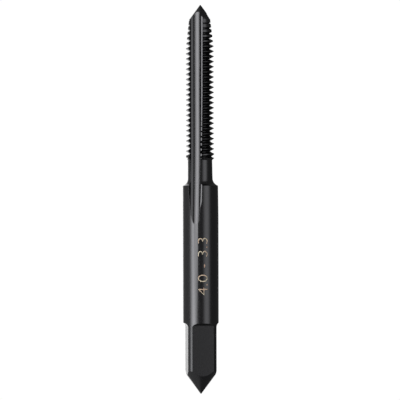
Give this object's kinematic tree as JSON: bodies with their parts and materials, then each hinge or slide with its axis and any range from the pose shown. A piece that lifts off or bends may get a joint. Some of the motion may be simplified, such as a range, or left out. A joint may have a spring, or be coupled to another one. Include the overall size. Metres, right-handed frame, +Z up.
{
  "type": "thread tap",
  "caption": "Hand tap for cutting a fine metric internal thread, with straight flutes, a tapered lead, a necked round shank and a drive square.",
  "frame": {"origin": "on the surface that the tap lies on, under the middle of its length", "axes": "+Y along the tap's axis towards the leading point, +Z up from the surface, +X across the tap"},
  "size_m": [0.0048, 0.0532, 0.0049],
  "materials": {
    "black_oxide_steel": "ground high-speed steel, steam-treated to a satin black oxide"
  },
  "bodies": {
    "root": {"thread_tap": "black_oxide_steel"}
  },
  "joints": []
}
